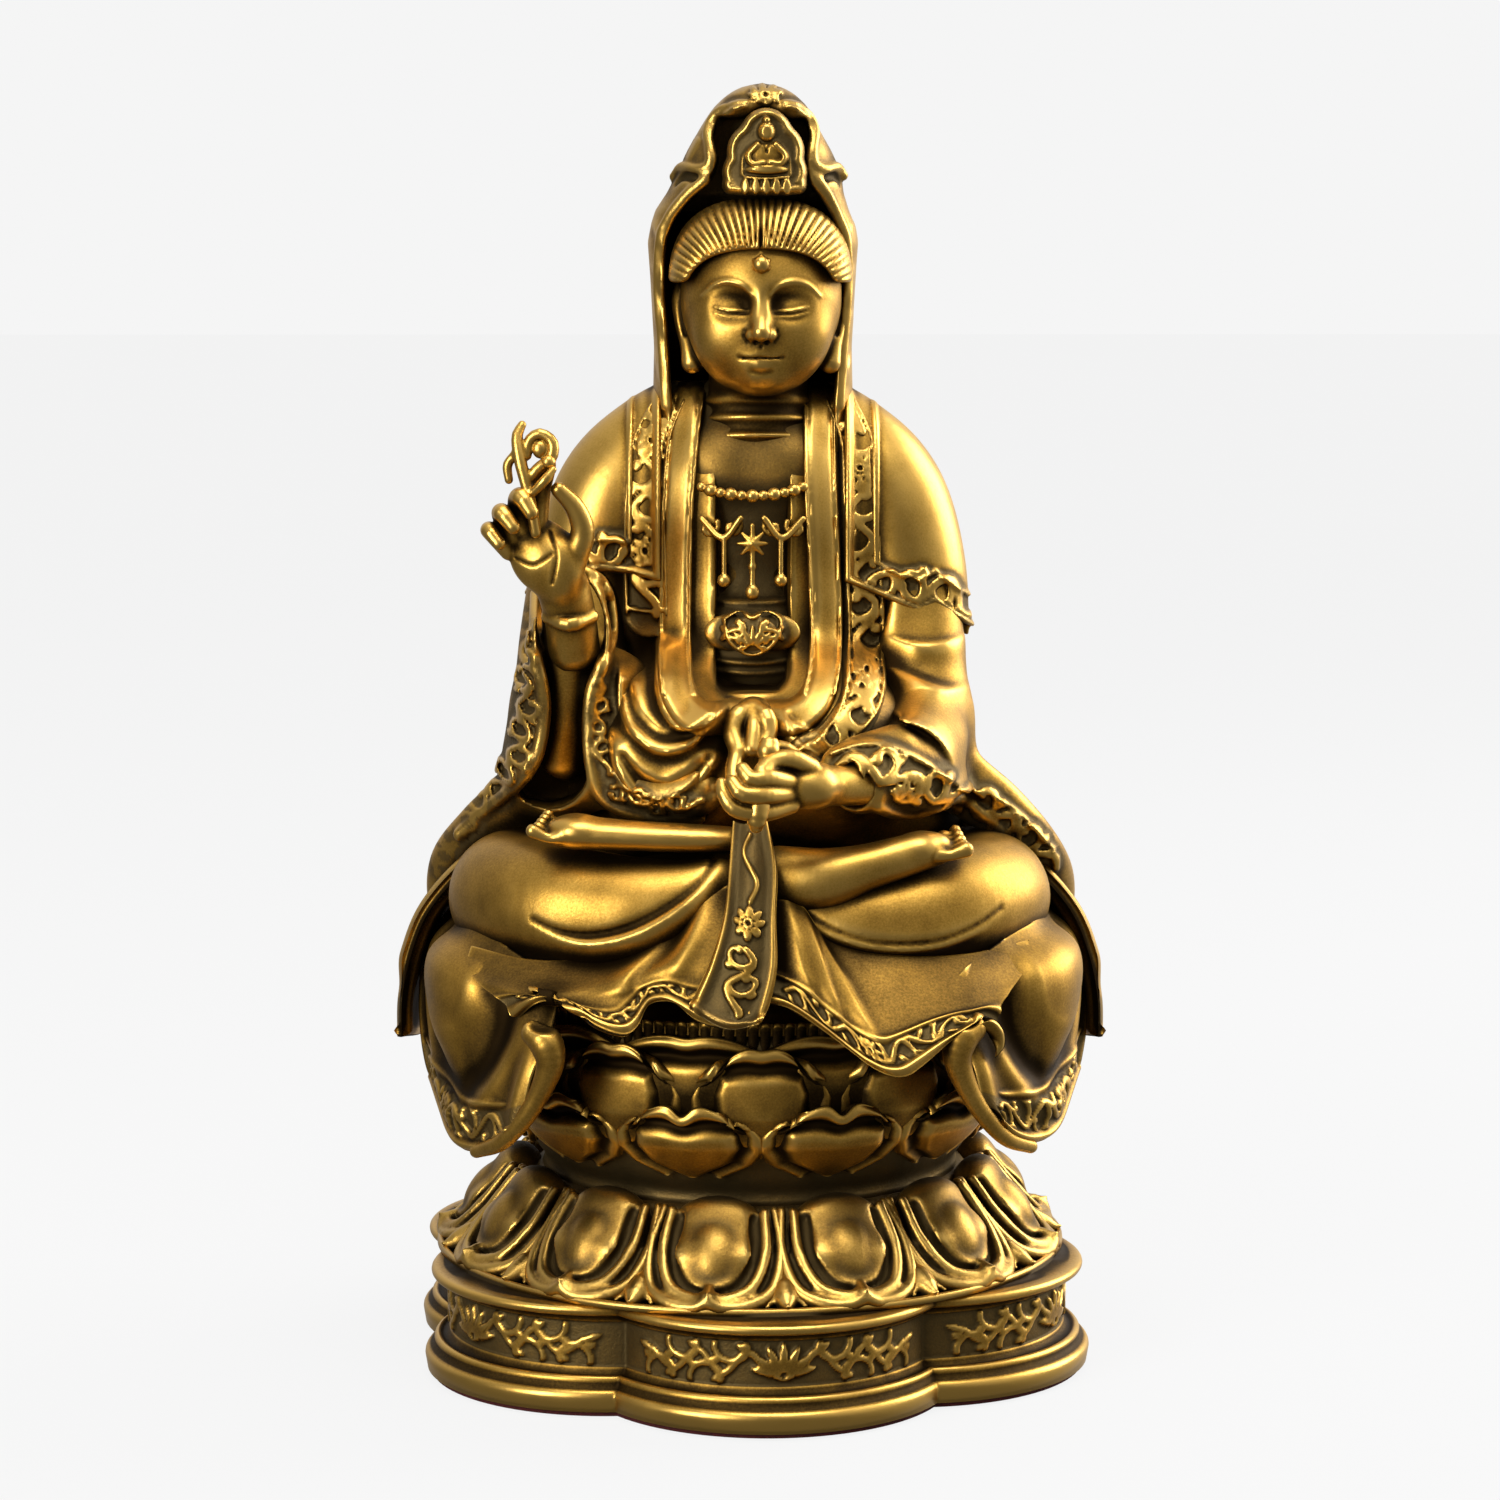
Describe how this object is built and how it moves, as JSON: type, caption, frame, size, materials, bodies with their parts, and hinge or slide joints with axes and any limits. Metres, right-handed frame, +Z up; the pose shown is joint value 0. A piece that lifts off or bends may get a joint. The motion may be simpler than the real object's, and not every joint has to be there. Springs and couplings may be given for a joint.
{
  "type": "seated buddha statue",
  "caption": "Cast brass figure in a hooded robe, seated cross-legged on a two-tier lotus throne above a six-lobed scrollwork plinth",
  "frame": {"origin": "Centre of the underside, where the felt pad rests on the shelf", "axes": "+Z up; the throne and plinth face -Y; +X is the figure's own left"},
  "size_m": [0.124, 0.124, 0.2193],
  "materials": {
    "antique_brass": "cast, brown patina in the recesses, high places rubbed bright",
    "dark_brass": "cast, sandy texture under a dark patina",
    "plate_brass": "rolled sheet, brushed",
    "plain_steel": "bare, turned",
    "red_felt": "pressed wool felt"
  },
  "bodies": {
    "root": {"felt_pad": "red_felt", "cover_plate": "plate_brass", "cover_screws": "plain_steel", "plinth": "antique_brass", "lower_lotus": "dark_brass", "lower_petals": "antique_brass", "lotus_bowl": "dark_brass", "inner_petals": "antique_brass", "outer_petals": "antique_brass", "stamen_ring": "dark_brass", "seat_plate": "dark_brass", "tie_rod": "plain_steel", "tie_nut": "plain_steel", "tie_washer": "plain_steel", "legs": "antique_brass", "right_foot": "antique_brass", "left_foot": "antique_brass", "front_apron": "antique_brass", "right_skirt_fall": "antique_brass", "left_skirt_fall": "antique_brass", "back_skirt": "antique_brass", "sash": "antique_brass", "torso": "dark_brass", "belt_clasp": "antique_brass", "robe": "antique_brass", "collar_band": "antique_brass", "waist_knot": "antique_brass", "right_lapel": "antique_brass", "left_lapel": "antique_brass", "shoulder_cape": "antique_brass", "right_sleeve": "antique_brass", "left_sleeve": "antique_brass", "right_hand": "antique_brass", "left_hand": "antique_brass", "lotus_sprig": "antique_brass", "nectar_vase": "antique_brass", "hand_pins": "plain_steel", "head": "antique_brass", "hair": "dark_brass", "hood": "antique_brass", "crown": "antique_brass", "forehead_jewel": "antique_brass", "necklace": "antique_brass", "pendants": "antique_brass"}
  },
  "joints": []
}
